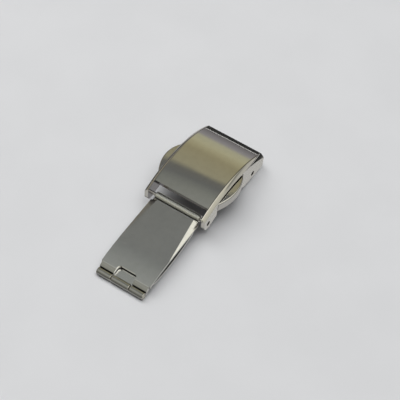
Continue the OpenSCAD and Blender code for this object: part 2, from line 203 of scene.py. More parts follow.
class Graph:
    """Node tree of a material or of the world."""

    MIX_FIRST, MIX_SECOND, MIX_RESULT = 6, 7, 2

    def __init__(self, tree: bpy.types.NodeTree) -> None:
        """Empties the tree."""
        self.tree = tree
        tree.nodes.clear()

    def add(self, kind: str, settings: dict | None = None, inputs: dict | None = None,
            output: int | str = 0) -> Value:
        """Adds a node.

        Args:
            kind: the node's type.
            settings: its properties, set first; "stops" fills a colour ramp.
            inputs: values or links by socket name or number.
            output: name or number of the socket that is wanted.

        Returns:
            The wanted output.
        """
        node = self.tree.nodes.new(kind)
        for name, value in (settings or {}).items():
            if name == "stops":
                self._fill_ramp(node.color_ramp, value)
            else:
                setattr(node, name, value)
        for name, value in (inputs or {}).items():
            self._feed(node.inputs[name], value)
        return Value(self, node.outputs[output] if len(node.outputs) else node)

    def _feed(self, socket: bpy.types.NodeSocket, value: object) -> None:
        """Links or sets a socket.

        Args:
            socket: the input.
            value: a Value, a number, a vector or a colour with its alpha.
        """
        source = value.source if isinstance(value, Value) else value
        if isinstance(source, bpy.types.NodeSocket):
            self.tree.links.new(source, socket)
        else:
            socket.default_value = source

    @staticmethod
    def _fill_ramp(ramp: bpy.types.ColorRamp, stops: Sequence[tuple[float, Triple]]) -> None:
        """Sets the stops of a colour ramp.

        Args:
            ramp: the ramp.
            stops: places with their colours, in order.
        """
        while len(ramp.elements) > 1:
            ramp.elements.remove(ramp.elements[-1])
        ramp.elements[0].position, ramp.elements[0].color = stops[0][0], (*stops[0][1], 1.0)
        for place, colour in stops[1:]:
            ramp.elements.new(place).color = (*colour, 1.0)

    def ramp(self, place: Value, *stops: tuple[float, Triple]) -> Value:
        """Colour by a value, from stops of value and colour."""
        return self.add("ShaderNodeValToRGB", {"stops": stops}, {"Fac": place})

    def mix(self, amount: Value, first: Value | Triple, second: Value | Triple) -> Value:
        """Mixes two colours.

        Args:
            amount: share of the second.
            first: colour at 0.
            second: colour at 1.

        Returns:
            The mixed colour.
        """
        inputs = {0: amount}
        for socket, colour in ((self.MIX_FIRST, first), (self.MIX_SECOND, second)):
            inputs[socket] = (*colour, 1.0) if isinstance(colour, tuple) else colour
        return self.add("ShaderNodeMix", {"data_type": "RGBA"}, inputs, self.MIX_RESULT)

    def noise(self, place: Value, scale: float, detail: float = 2.0,
              stretch: Triple = (1.0, 1.0, 1.0)) -> Value:
        """Soft noise of about 0 to 1, by its scale per metre, its octaves and its stretch."""
        mapped = self.add("ShaderNodeMapping", None, {"Vector": place, "Scale": stretch})
        return self.add("ShaderNodeTexNoise", None, {"Vector": mapped, "Scale": scale, "Detail": detail})


@dataclass(frozen=True)
class SteelFinish:
    """A finish of the clasp's steel: mirror polish, or brushed with fine lines across or along.

    Fields are the steel's colour, its mean roughness, how far the roughness wanders, the share of fine
    scratches, the strength of the brushing and the direction in which its lines run. The constants hold
    each noise's scale and octaves, where each mask starts and is full, and what each adds to the
    roughness, the tone and the height of the surface.
    """

    name: str
    colour: Triple
    rough: float
    wander: float = 0.03
    scratches: float = 0.3
    brushing: float = 0.0
    lines: Axis = Axis.ALONG

    CLOUD, HANDLING, GRAIN = (260.0, 3.0), (900.0, 4.0), (1500.0, 3.0)
    GRAIN_STRETCH, SCRATCH_STRETCH = 26.0, 34.0
    HANDLED, HANDLED_SHARE = (0.35, 0.75), 0.35
    DARKER, LIGHTER = 0.9, 1.12
    SCRATCH_ROUGH, SCRATCH_TONE, SCRATCH_DEPTH = 0.12, 0.25, 0.002
    GRAIN_ROUGH, GRAIN_DEPTH, RIPPLE = 0.25, 0.01, 0.02
    BUMP_STRENGTH, BUMP_DISTANCE = 0.35, 0.0006
    SCRATCH_SETS = ((0.35, 420.0), (1.9, 560.0), (2.7, 350.0))
    LINE_STEP, PATCH_STEP, PATCH_SCALE = (0.70, 0.76), (0.5, 0.62), 0.5
    NOISE_MIDDLE = 0.5

    def build(self) -> bpy.types.Material:
        """Makes the material.

        Returns:
            A metal whose roughness, tone and surface vary as polished or brushed steel's do.
        """
        material = bpy.data.materials.new(self.name)
        material.use_nodes = True
        graph = Graph(material.node_tree)
        place = graph.add("ShaderNodeTexCoord", output="Object")
        cloud = graph.noise(place, *self.CLOUD)
        handling = graph.noise(place, *self.HANDLING)
        fine = self.GRAIN_STRETCH
        along = (1.0, fine, fine) if self.lines is Axis.ALONG else (fine, 1.0, fine)
        grain = graph.noise(place, *self.GRAIN, along)
        hairlines = self._hairlines(graph, place)
        rough = self.rough + (cloud - self.NOISE_MIDDLE) * (2 * self.wander)
        rough = rough + hairlines * (self.SCRATCH_ROUGH * self.scratches)
        rough = rough + (grain - self.NOISE_MIDDLE) * (self.GRAIN_ROUGH * self.brushing)
        handled = handling.smooth(*self.HANDLED) * self.HANDLED_SHARE
        tone = graph.mix(handled, self.colour, self._shade(self.DARKER))
        scratched = hairlines * (self.SCRATCH_TONE * self.scratches)
        tone = graph.mix(scratched, tone, self._shade(self.LIGHTER))
        height = cloud * self.RIPPLE + grain * (self.GRAIN_DEPTH * self.brushing)
        height = height - hairlines * (self.SCRATCH_DEPTH * self.scratches)
        bump = graph.add(
            "ShaderNodeBump",
            None,
            {"Strength": self.BUMP_STRENGTH, "Distance": self.BUMP_DISTANCE, "Height": height},
        )
        shader = graph.add(
            "ShaderNodeBsdfPrincipled",
            None,
            {"Base Color": tone, "Metallic": 1.0, "Roughness": rough, "Normal": bump},
        )
        graph.add("ShaderNodeOutputMaterial", None, {"Surface": shader})
        return material

    def _shade(self, share: float) -> Triple:
        """The steel's colour, darker or lighter."""
        return tuple(min(1.0, share * c) for c in self.colour)

    def _hairlines(self, graph: Graph, place: Value) -> Value:
        """Sparse hairline scratches in three directions.

        Args:
            graph: the material's nodes.
            place: coordinates.

        Returns:
            A mask, 1 in a scratch.
        """
        mask: Value | float = 0.0
        for turn, scale in self.SCRATCH_SETS:
            about = {"Vector": place, "Rotation": (0.0, 0.0, turn)}
            turned = graph.add("ShaderNodeMapping", None, about)
            line = graph.noise(turned, scale, 1.0, (1.0, self.SCRATCH_STRETCH, self.SCRATCH_STRETCH))
            patch = graph.noise(turned, self.PATCH_SCALE * scale, 1.0)
            mask = mask + line.smooth(*self.LINE_STEP) * patch.smooth(*self.PATCH_STEP)
        return mask


class Steel(Enum):
    """The clasp's finishes, some of them lighter or darker copies of the steel that paint light or shade.
    """

    MIRROR = SteelFinish("mirror_polished_steel", (0.73, 0.715, 0.68), 0.055, 0.02, 0.5)
    BLADE = SteelFinish("polished_blade_steel", (0.76, 0.76, 0.745), 0.15, 0.03, 0.9, 0.06)
    BARREL = SteelFinish("satin_barrel_steel", (0.76, 0.76, 0.71), 0.27, 0.04, 0.3, 0.6, Axis.ACROSS)
    # Painted shade: a darker copy of the steel for the far knuckles and the fingers' bend, with real
    # brushing and scratches.
    KNUCKLE = SteelFinish("worn_knuckle_steel", (0.47, 0.47, 0.45), 0.20, 0.05, 0.6, 0.8, Axis.ACROSS)
    # Satin finish, and painted light: a lighter copy of the steel for the walls' outsides.
    WALL = SteelFinish("satin_wall_steel", (0.90, 0.885, 0.85), 0.26, 0.03, 0.3, 0.4)
    # Painted shade: a dark copy of the steel for the lugs' inner faces and the blades' undersides, where
    # shade falls.
    SHADED = SteelFinish("shaded_lug_steel", (0.27, 0.26, 0.275), 0.16, 0.03, 0.3)
    # Painted shade: a near-black copy of the steel for the roof's underside and the walls' insides.
    LINING = SteelFinish("dull_lining_steel", (0.11, 0.105, 0.105), 0.33, 0.04, 0.4, 0.5)
    # Painted shade: a near-black copy of the steel in holes, seams and the pin's sunk ends.
    BORE = SteelFinish("grimy_bore_steel", (0.07, 0.065, 0.06), 0.5, 0.05, 0.1)
    BUTTON = SteelFinish("polished_button_steel", (0.70, 0.69, 0.67), 0.07, 0.02, 0.5)
    # Satin finish, and painted shade: a darker copy of the steel for the latch under the cover.
    INNER = SteelFinish("satin_inner_steel", (0.42, 0.42, 0.41), 0.30, 0.04, 0.4, 0.7, Axis.ACROSS)
    PIN = SteelFinish("turned_pin_steel", (0.70, 0.69, 0.67), 0.16, 0.03, 0.3, 0.3)
    SPRING = SteelFinish("spring_wire_steel", (0.58, 0.57, 0.55), 0.24, 0.04, 0.2, 0.2)


@cache
def material(steel: Steel) -> bpy.types.Material:
    """Material of a finish, built once."""
    return steel.value.build()


# Modelling


class Bench:
    """Blender's operators, used as by hand, in millimetres."""

    SEED = 0.01
    MERGE_GAP = 0.0005
    CLEAN_GAP = 0.004
    FLAT_ANGLE = math.radians(0.08)
    THROUGH = 24.0
    BARREL_SIDES = 96
    DOWNWARD = -0.6
    LIP_SLOPE = (0.08, 0.97)

    @staticmethod
    def rest() -> None:
        """Leaves edit mode and deselects everything."""
        if bpy.context.mode != "OBJECT":
            bpy.ops.object.mode_set(mode="OBJECT")
        bpy.ops.object.select_all(action="DESELECT")

    @classmethod
    def take(cls, piece: Piece) -> None:
        """Selects one object alone.

        Args:
            piece: the object.
        """
        cls.rest()
        piece.select_set(True)
        bpy.context.view_layer.objects.active = piece

    @classmethod
    def edit(cls, piece: Piece) -> None:
        """Opens one object with all of its mesh selected.

        Args:
            piece: the object.
        """
        cls.take(piece)
        bpy.ops.object.mode_set(mode="EDIT")
        bpy.ops.mesh.select_all(action="SELECT")

    @staticmethod
    def settle(name: str) -> Piece:
        """Names the active object and applies its place.

        Args:
            name: its name, and its mesh's.

        Returns:
            The object.
        """
        piece = bpy.context.active_object
        piece.name = piece.data.name = name
        bpy.ops.object.transform_apply(location=True, rotation=True, scale=True)
        return piece

    @staticmethod
    def pick(piece: Piece, kind: Part, test: Callable[[object], bool]) -> None:
        """Selects, in edit mode, the faces or edges that pass a test.

        Args:
            piece: the object in edit mode.
            kind: faces or edges.
            test: takes a face or an edge of the mesh.
        """
        bpy.ops.mesh.select_mode(type=kind.name)
        bpy.ops.mesh.select_all(action="DESELECT")
        mesh = bmesh.from_edit_mesh(piece.data)
        for part in getattr(mesh, kind.value):
            if test(part):
                part.select_set(True)
        bmesh.update_edit_mesh(piece.data)

    @classmethod
    def clean(cls) -> None:
        """Merges near corners and clears the edges inside flat faces, in edit mode."""
        bpy.ops.mesh.remove_doubles(threshold=cls.CLEAN_GAP)
        bpy.ops.mesh.dissolve_limited(angle_limit=cls.FLAT_ANGLE)

    @classmethod
    def outline(cls, name: str, points: Sequence[Sequence[float]]) -> Piece:
        """Draws a closed outline by extruding one corner from point to point, and fills it.

        Args:
            name: the new object's name.
            points: its corners in order.

        Returns:
            An object of one face, left in edit mode with all selected.
        """
        corners = [Vector(p) for p in points]
        cls.rest()
        bpy.ops.mesh.primitive_plane_add(size=cls.SEED, location=corners[0])
        piece = cls.settle(name)
        bpy.ops.object.mode_set(mode="EDIT")
        bpy.ops.mesh.select_mode(type="VERT")
        bpy.ops.mesh.select_all(action="SELECT")
        bpy.ops.mesh.merge(type="CENTER")
        for before, after in zip(corners, corners[1:]):
            bpy.ops.mesh.extrude_vertices_move(TRANSFORM_OT_translate={"value": after - before})
        bpy.ops.mesh.select_all(action="SELECT")
        bpy.ops.mesh.edge_face_add()
        bpy.ops.mesh.select_all(action="SELECT")
        return piece

    @classmethod
    def prism(cls, name: str, outline: Sequence[Point], low: float, high: float,
              axis: Axis = Axis.ACROSS) -> Piece:
        """Extrudes an outline.

        Args:
            name: the new object's name.
            outline: (x, z) of a side view, or (x, y) of a plan.
            low: where it starts on the axis.
            high: where it ends.
            axis: across for a side view, up for a plan.

        Returns:
            A closed solid.
        """
        across = axis is Axis.ACROSS
        piece = cls.outline(name, [(a, low, b) if across else (a, b, low) for a, b in outline])
        step = (0.0, high - low, 0.0) if across else (0.0, 0.0, high - low)
        bpy.ops.mesh.extrude_region_move(TRANSFORM_OT_translate={"value": step})
        cls.close(piece)
        return piece

    @classmethod
    def spun(cls, name: str, section: Sequence[Point], centre: Point, start: float, turn: float,
             steps: int) -> Piece:
        """Spins a section about an axis across the clasp.

        Args:
            name: the new object's name.
            section: (radius, distance across) of its corners.
            centre: (x, z) of the axis.
            start: angle of the first section, in degrees.
            turn: angle through which it spins.
            steps: number of steps.

        Returns:
            A closed solid.
        """
        c, s = math.cos(math.radians(start)), math.sin(math.radians(start))
        piece = cls.outline(name, [(centre[0] + r * c, y, centre[1] + r * s) for r, y in section])
        bpy.ops.mesh.spin(
            steps=steps,
            angle=math.radians(turn),
            center=(centre[0], 0.0, centre[1]),
            axis=(0.0, 1.0, 0.0),
        )
        cls.close(piece)
        return piece

    @classmethod
    def close(cls, piece: Piece) -> None:
        """Merges doubles and turns the faces outwards.

        Args:
            piece: the piece.
        """
        cls.edit(piece)
        bpy.ops.mesh.remove_doubles(threshold=cls.MERGE_GAP)
        bpy.ops.mesh.normals_make_consistent(inside=False)
        cls.rest()

    @classmethod
    def block(cls, name: str, low: Sequence[float], high: Sequence[float]) -> Piece:
        """A block between two corners, to be shaped further.

        Args:
            name: the new object's name.
            low: its lowest corner.
            high: its highest corner.

        Returns:
            A closed solid.
        """
        low, high = Vector(low), Vector(high)
        cls.rest()
        bpy.ops.mesh.primitive_cube_add(size=1.0, location=(low + high) / 2, scale=high - low)
        return cls.settle(name)

    @classmethod
    def rod(cls, name: str, centre: Sequence[float], radius: float, length: float,
            axis: Axis = Axis.ACROSS, sides: int = 64) -> Piece:
        """A round rod, to be shaped further.

        Args:
            name: the new object's name.
            centre: its middle.
            radius: its radius.
            length: its length.
            axis: the way it lies.
            sides: number of flats that make it round.

        Returns:
            A closed solid.
        """
        turn = (0.0, 0.0, 0.0) if axis is Axis.UP else (math.pi / 2, 0.0, 0.0)
        cls.rest()
        bpy.ops.mesh.primitive_cylinder_add(
            vertices=sides, radius=radius, depth=length, location=centre, rotation=turn
        )
        return cls.settle(name)

    @classmethod
    def post(cls, name: str, foot: Triple, top: float, radius: float, sides: int) -> Piece:
        """An upright rod, from the middle of its foot to the height of its top."""
        x, y, low = foot
        return cls.rod(name, (x, y, (low + top) / 2), radius, top - low, Axis.UP, sides)

    @classmethod
    def barrel(cls, name: str, x: float, low: float, high: float, radius: float, bore: float,
               lip: float = 0.13) -> Piece:
        """A rolled barrel across the clasp, with its bore and rounded ends.

        Args:
            name: the new object's name.
            x: its distance from the front hinge.
            low: where it starts across the clasp.
            high: where it ends.
            radius: its radius.
            bore: its bore's radius.
            lip: width of the rounding at its ends.

        Returns:
            A closed solid.
        """
        piece = cls.rod(name, (x, (low + high) / 2, 0.0), radius, high - low, sides=cls.BARREL_SIDES)
        cls.weld(piece, Weld.CUT, cls.rod("bore", (x, 0.0, 0.0), bore, cls.THROUGH))
        cls.soften(piece, lip, ROUND)
        return piece

    @classmethod
    def is_under(cls, centre: Vector, normal: Vector) -> bool:
        """Whether a face looks down."""
        return normal.z < cls.DOWNWARD

    @classmethod
    def on_lip(cls, centre: Vector, normal: Vector) -> bool:
        """Whether a face belongs to the rounding at the end of a barrel."""
        return cls.LIP_SLOPE[0] < abs(normal.y) < cls.LIP_SLOPE[1]

    @classmethod
    def weld(cls, piece: Piece, how: Weld, *tools: Piece) -> None:
        """Cuts, joins or trims a piece with tools, which are used up.

        Args:
            piece: the piece that is kept.
            how: what each tool does to it.
            tools: the other solids.
        """
        for tool in tools:
            cls.take(piece)
            modifier = piece.modifiers.new("shape", "BOOLEAN")
            modifier.operation = how.value
            modifier.solver = "EXACT"
            modifier.object = tool
            bpy.ops.object.modifier_apply(modifier=modifier.name)
            bpy.data.objects.remove(tool)

    @classmethod
    def gather(cls, name: str, pieces: Sequence[Piece]) -> Piece:
        """Makes one object of separate solids.

        Args:
            name: the object's name.
            pieces: the solids.

        Returns:
            The first of them, with the others in its mesh.
        """
        cls.rest()
        for piece in pieces:
            piece.select_set(True)
        bpy.context.view_layer.objects.active = pieces[0]
        bpy.ops.object.join()
        pieces[0].name = pieces[0].data.name = name
        return pieces[0]

    @classmethod
    def round_edges(cls, piece: Piece, test: EdgeTest, width: float, segments: int) -> None:
        """Rounds some edges of a piece.

        Args:
            piece: the piece.
            test: takes an edge's middle and the normals of its faces.
            width: width of the rounding.
            segments: how finely it is rounded.
        """

        def passes(edge: bmesh.types.BMEdge) -> bool:
            """Whether an edge between two faces passes the test."""
            middle = (edge.verts[0].co + edge.verts[1].co) / 2
            return edge.is_manifold and test(middle, [f.normal for f in edge.link_faces])

        cls.edit(piece)
        cls.clean()
        cls.pick(piece, Part.EDGE, passes)
        bpy.ops.mesh.bevel(offset=width, segments=segments, affect="EDGES")
        cls.rest()

    @classmethod
    def soften(cls, piece: Piece, width: float, segments: int = 3, angle: float = 15.0) -> None:
        """Rounds the edges that are sharper than an angle, and shades the rest smooth.

        Args:
            piece: the piece.
            width: width of the rounding.
            segments: how finely it is rounded.
            angle: least angle of a rounded edge, in degrees.
        """
        cls.edit(piece)
        cls.clean()
        bpy.ops.mesh.normals_make_consistent(inside=False)
        cls.take(piece)
        bpy.ops.object.shade_smooth_by_angle(angle=math.radians(angle))
        modifier = piece.modifiers.new("rounding", "BEVEL")
        modifier.width = width
        modifier.segments = segments
        modifier.limit_method = "ANGLE"
        modifier.angle_limit = math.radians(angle)
        modifier.harden_normals = True
        modifier.miter_outer = "MITER_ARC"
        bpy.ops.object.modifier_apply(modifier=modifier.name)

    @classmethod
    def mirrored(cls, piece: Piece, name: str) -> Piece:
        """The same piece on the other side of the middle plane, with its own mesh.

        Args:
            piece: the piece to copy.
            name: the copy's name.

        Returns:
            The copy.
        """
        cls.take(piece)
        bpy.ops.object.duplicate(linked=False)
        copy = bpy.context.active_object
        copy.name = copy.data.name = name
        cls.edit(copy)
        bpy.ops.transform.mirror(constraint_axis=(False, True, False), center_override=(0.0, 0.0, 0.0))
        bpy.ops.mesh.normals_make_consistent(inside=False)
        cls.rest()
        return copy


@dataclass
class Assembly:
    """What the clasp's sub-assemblies share: where their drawings lie and how a piece is finished.

    Fields are the turn of each drawing about the front hinge, in degrees, and the hinge's place in
    the frame, in millimetres.
    """

    tilt: float = 5.729125
    pitch: float = 7.437327
    hinge_x: float = HINGE_X
    hinge_h: float = 3.3

    def place(self, piece: Piece, level: Level) -> None:
        """Moves a drawn piece to its place in the frame, in metres.

        Args:
            piece: the piece, in millimetres about the front hinge.
            level: the line it was drawn level with.
        """
        turn = self.tilt if level is Level.COVER else -self.pitch
        Bench.take(piece)
        piece.matrix_world = (
            Matrix.Scale(MM, 4)
            @ Matrix.Translation((self.hinge_x, 0.0, self.hinge_h))
            @ Matrix.Rotation(math.radians(turn), 4, "Y")
        )
        bpy.ops.object.transform_apply(location=True, rotation=True, scale=True)

    @staticmethod
    def dress(piece: Piece, steel: Steel, *parts: tuple[Steel, FaceTest]) -> Piece:
        """Gives a drawn piece its finish, and some of its faces others.

        Args:
            piece: the piece, before it is placed.
            steel: its finish.
            parts: each other finish with its test, which takes a face's centre and normal.

        Returns:
            The piece.
        """
        piece.data.materials.clear()
        for finish in (steel, *(other for other, _ in parts)):
            piece.data.materials.append(material(finish))
        for number, (_, test) in enumerate(parts, 1):
            Bench.edit(piece)
            Bench.pick(piece, Part.FACE, lambda f: test(f.calc_center_median(), f.normal))
            piece.active_material_index = number
            bpy.ops.object.material_slot_assign()
        Bench.rest()
        return piece

    def fit(self, piece: Piece, level: Level, body: str, steel: Steel, slot: str, *nodes: str) -> None:
        """Places a piece, gives it its finish and fixes it to its body.

        Args:
            piece: the drawn piece.
            level: the line it was drawn level with.
            body: the body that carries it.
            steel: its finish, if it isn't dressed yet.
            slot: not used.
            nodes: the plain solids that it stands for.
        """
        self.place(piece, level)
        if not piece.data.materials:
            piece.data.materials.append(material(steel))
        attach(piece, body)
        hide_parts(*nodes)
        LOG.info("%s: %d faces on %s", piece.name, len(piece.data.polygons), body)


@dataclass
class Cover(Assembly):
    """The arched cover with its side walls, and the front hinge pin that is fixed in it.

    An arc has its first angle, its last angle and its steps; the spin has its first angle, its turn
    and its steps. Angles are in degrees.
    """

    width: float = 14.0
    arch_r: float = 28.4
    crown_h: float = 4.6
    crown_x: float = 9.3
    spin: Turn = (55.0, 70.0, 140)
    depth: float = 9.0
    plate_t: float = 0.85
    wall_t: float = 0.8
    front_edge: float = 0.7
    rear_edge: float = 20.6
    bevel_w: float = 0.8
    bevel_h: float = 0.65
    bevel_r: float = 25.0
    bevel_slope: float = 0.45
    bevel_lead: float = 0.15
    bevel_span: Point = (0.25, 1.9)
    bevel_points: tuple[int, int] = (7, 18)
    ridge_h: float = 0.02
    rim_h: float = 0.1
    lug_reach: float = 1.9
    lug_r: float = 1.4
    lug_arc: Turn = (184.0, 288.0, 22)
    slot_reach: float = 4.0
    strap_x: float = 16.5
    strap_d: float = 1.1
    lobe_drop: float = 1.3
    lobe_r: float = 1.3
    lobe_arc: Turn = (184.0, 270.0, 18)
    foot_corner: float = 0.5
    foot_arc: Turn = (270.0, 360.0, 10)
    notch: Point = (3.1, 12.3)
    notch_foot: float = -0.35
    notch_lead: float = 1.0
    waist_h: float = 0.6
    notch_corner: float = 0.35
    notch_points: int = 41
    rear_round: float = 0.16
    edge_round: float = 0.16
    edge_depth: float = 0.1
    softness: float = 0.07
    pin_d: float = 0.7
    pin_fit: float = 0.01
    pin_recess: float = 0.55
    pin_round: float = 0.12
    post_r: float = 0.5
    post_sides: int = 32
    post_places: tuple[Point, ...] = ((3.7, 2.5), (3.7, -2.5), (11.7, 2.5), (11.7, -2.5))
    bore_r: float = 0.31
    bore_rise: float = 0.25
    bore_sides: int = 24
    frame_top: float = 3.0
    frame_low: float = 2.6
    cut: float = 1.0

    WALL_LEAN, RIM_LEAN = 0.85, (0.3, 0.9)

    @property
    def inner_half(self) -> float:
        """Distance from the middle plane to a side wall's inner face."""
        return self.width / 2 - self.wall_t

    def arch_top(self, x: float, r: float | None = None, drop: float = 0.0) -> float:
        """Height of an arch, by its radius and how far its crown lies below the cover's."""
        r = r or self.arch_r
        return self.crown_h - drop - r + math.sqrt(r * r - (x - self.crown_x) ** 2)

    def _bevel_drop(self, t: float) -> float:
        """Drop of the rounded bevel, whose inner edge is rounded too.

        Args:
            t: distance outwards from the inner edge.

        Returns:
            How far the bevel lies below the roof there.
        """
        if t < self.bevel_lead:
            return self.bevel_slope * (t + self.bevel_lead) ** 2 / (4 * self.bevel_lead)
        bend = (self.bevel_h - self.bevel_slope * self.bevel_w) / self.bevel_w**2
        return self.bevel_slope * t + bend * t * t

    def _side_outline(self) -> list[Point]:
        """Side view of a wall, without the opening for the button.

        Returns:
            Its corners, from the front lug's top round the foot to the rear edge's top.
        """
        top = self.crown_h + self.cut
        front, rear = self.notch
        points = [(-self.lug_reach, top), (-self.lug_r, 0.0)]
        points += arc((0.0, 0.0), self.lug_r, *self.lug_arc)
        points += [(front, self.notch_foot), (front + self.notch_lead, self.waist_h)]
        points += [(rear - self.notch_lead, self.waist_h), (rear, 0.0)]
        points += arc((rear + self.lobe_r, 0.0), self.lobe_r, *self.lobe_arc)
        corner = (self.rear_edge - self.foot_corner, self.foot_corner - self.lobe_drop)
        points += arc(corner, self.foot_corner, *self.foot_arc)
        slope = math.asin((self.rear_edge - self.crown_x) / self.arch_r)
        touch = self.rear_edge - self.rear_round * (1 - math.sin(slope))
        height = self.arch_top(touch) - self.rear_round * math.cos(slope)
        middle = (self.rear_edge - self.rear_round, height)
        points += arc(middle, self.rear_round, 0.0, 90.0 - math.degrees(slope), ARC)
        points.append((touch, top))
        return points

    def _button_opening(self) -> list[Point]:
        """Side view of the opening over a button, with rounded upper corners.

        Returns:
            Its corners from front to rear.
        """
        drop = self.bevel_h + self.rim_h
        front, rear = self.notch
        foot, k = -self.lobe_drop - self.cut, self.notch_corner
        points = [(front, foot)]
        for x in spread(front, rear, self.notch_points):
            top = self.arch_top(x, self.bevel_r - drop, drop)
            edge = min(x - front, rear - x)
            if edge < k:
                top -= k - math.sqrt(k * k - (k - edge) ** 2)
            points.append((x, top))
        return [*points, (rear, foot)]

    def _arched(self, name: str, section: Sequence[Point], r: float) -> Piece:
        """Spins a section of (radius, distance across) along an arch that touches the crown."""
        return Bench.spun(name, section, (self.crown_x, self.crown_h - r), *self.spin)

    def _channel(self) -> Piece:
        """Models the plain arched channel.

        Returns:
            The roof with both side walls, all longer than the cover.
        """
        r, half, inner = self.arch_r, self.width / 2, self.inner_half
        foot, under = r - self.depth, r - self.plate_t
        right = [(r, half), (foot, half), (foot, inner), (under, inner)]
        return self._arched("cover_shell", [(r, -half), *right, *((a, -y) for a, y in right[:0:-1])], r)

    def _roof_form(self) -> Piece:
        """Models the room inside the roof's bevels.

        Returns:
            A solid to trim the channel with.
        """
        lead, r = self.bevel_lead, self.bevel_r
        lead_points, span_points = self.bevel_points
        steps = [*spread(-lead, lead, lead_points), *spread(*self.bevel_span, span_points)]
        slope = [(r - self._bevel_drop(t), self.width / 2 - self.bevel_w + t) for t in steps]
        slope.append((r - self.depth, slope[-1][1]))
        section = [*((a, -y) for a, y in reversed(slope)), (r + self.ridge_h, 0.0), *slope]
        return self._arched("roof_form", section, r)

    def _add_posts(self, piece: Piece) -> None:
        """Joins the posts that carry the latch frame, with the bores for its rivets.

        Args:
            piece: the cover.
        """
        for x, y in self.post_places:
            top = self.arch_top(x) - self.plate_t / 2
            post = Bench.post("post", (x, y, self.frame_top), top, self.post_r, self.post_sides)
            Bench.weld(piece, Weld.JOIN, post)
            top = self.frame_top + self.bore_rise
            bore = Bench.post("bore", (x, y, self.frame_low), top, self.bore_r, self.bore_sides)
            Bench.weld(piece, Weld.CUT, bore)

    def shell(self) -> Piece:
        """Models the cover.

        Returns:
            The arched channel with bevels, lugs, lobes, openings and posts.
        """
        half, inner, through = self.width / 2, self.inner_half, self.width + 2 * self.cut
        reach = half + self.cut
        piece = self._channel()
        side_form = Bench.prism("side_form", self._side_outline(), -reach, reach)
        Bench.weld(piece, Weld.TRIM, self._roof_form(), side_form)
        for s in SIDES:
            low, high = sorted((s * inner, s * reach))
            opening = Bench.prism("button_opening", self._button_opening(), low, high)
            Bench.weld(piece, Weld.CUT, opening)
        low = (-self.slot_reach, -inner, -self.slot_reach)
        high = (self.front_edge, inner, self.crown_h + self.cut)
        Bench.weld(
            piece,
            Weld.CUT,
            Bench.block("lug_slot", low, high),
            Bench.rod("pin_seat", HINGE, self.pin_d / 2 + self.pin_fit, through),
            Bench.rod("strap_hole", (self.strap_x, 0.0, 0.0), self.strap_d / 2, through),
        )
        for s in SIDES:
            mouth = (0.0, s * (half - self.pin_recess + self.cut / 2), 0.0)
            Bench.weld(piece, Weld.CUT, Bench.rod("pin_mouth", mouth, self.strap_d / 2, self.cut))
        self._add_posts(piece)
        Bench.round_edges(piece, self._on_front_edge, self.edge_round, ROUND)
        Bench.soften(piece, self.softness)
        return self.dress(
            piece,
            Steel.MIRROR,
            # Painted light on the walls' outsides.
            (Steel.WALL, self._in_wall),
            # Painted shade on the slot's faces.
            (Steel.SHADED, self._in_slot),
            # Painted shade under the roof.
            (Steel.LINING, self._in_roof_shade),
            # Painted shade in the holes.
            (Steel.BORE, self._in_bore),
        )

    def _on_front_edge(self, middle: Vector, normals: list[Vector]) -> bool:
        """Whether an edge is the plate's upper front edge.

        Args:
            middle: the edge's middle.
            normals: normals of its two faces.

        Returns:
            True for the edge between the lugs at the top.
        """
        top = self.arch_top(self.front_edge) - self.edge_depth
        at_front = abs(middle.x - self.front_edge) < HAIR and middle.z > top
        return at_front and abs(middle.y) < self.inner_half + HAIR and max(n.z for n in normals) > FACING

    def _in_slot(self, centre: Vector, normal: Vector) -> bool:
        """Whether a face borders the slot between the lugs.

        Args:
            centre: the face's centre.
            normal: its normal.

        Returns:
            True for the plate's front face and the inner faces of the walls' front ends.
        """
        beside = abs(abs(centre.y) - self.inner_half) < NEAR
        reach = self.notch[0] if abs(normal.y) > FACING else self.front_edge
        at_front = abs(centre.x - self.front_edge) < NEAR and normal.x < -FACING
        return at_front or (beside and centre.x < reach)

    def _in_wall(self, centre: Vector, normal: Vector) -> bool:
        """Whether a face belongs to the outside of a side wall."""
        return abs(centre.y) > self.width / 2 - CLOSE and abs(normal.y) > self.WALL_LEAN

    def _in_roof_shade(self, centre: Vector, normal: Vector) -> bool:
        """Whether a face belongs to the roof's underside or a wall's inside, behind the lugs, where shade
        is painted.

        Args:
            centre: the face's centre.
            normal: its normal.

        Returns:
            True for faces that look down or inwards there.
        """
        behind = centre.x > self.front_edge + CLOSE and not self._in_slot(centre, normal)
        inward = normal.z < -LEANING or normal.y * centre.y < -LEANING * abs(centre.y)
        return behind and inward and abs(centre.y) < self.inner_half + HAIR

    def _in_bore(self, centre: Vector, normal: Vector) -> bool:
        """Whether a face lies inside a hole of a side wall.

        Args:
            centre: the face's centre.
            normal: its normal.

        Returns:
            True inside the pin's mouths and the bracelet's holes, their rounded rims left out.
        """
        in_wall = self.inner_half + HAIR < abs(centre.y) < self.width / 2 - HAIR
        on_rim = self.RIM_LEAN[0] < abs(normal.y) < self.RIM_LEAN[1]
        reach = self.strap_d / 2 + NEAR
        holes = (0.0, self.strap_x)
        return in_wall and not on_rim and any(math.hypot(centre.x - x, centre.z) < reach for x in holes)

    def pin(self) -> Piece:
        """Models the front hinge pin.

        Returns:
            A rod with rounded ends, with painted shade where it sits in the lugs.
        """
        length = self.width - 2 * self.pin_recess - 2 * self.pin_fit
        piece = Bench.rod("front_hinge_pin", HINGE, self.pin_d / 2, length)
        Bench.soften(piece, self.pin_round, ROUND)
        # Painted shade on the pin's ends inside the lugs.
        sunk = (Steel.BORE, lambda centre, normal: abs(centre.y) > self.inner_half)
        return self.dress(piece, Steel.PIN, sunk)

    def build(self) -> None:
        """Models and fits the cover's pieces."""
        self.fit(self.shell(), Level.COVER, "cover", Steel.MIRROR, "polished_steel", "cover_shell")
        self.fit(self.pin(), Level.COVER, "cover", Steel.PIN, "pin_steel", "front_hinge_pin")


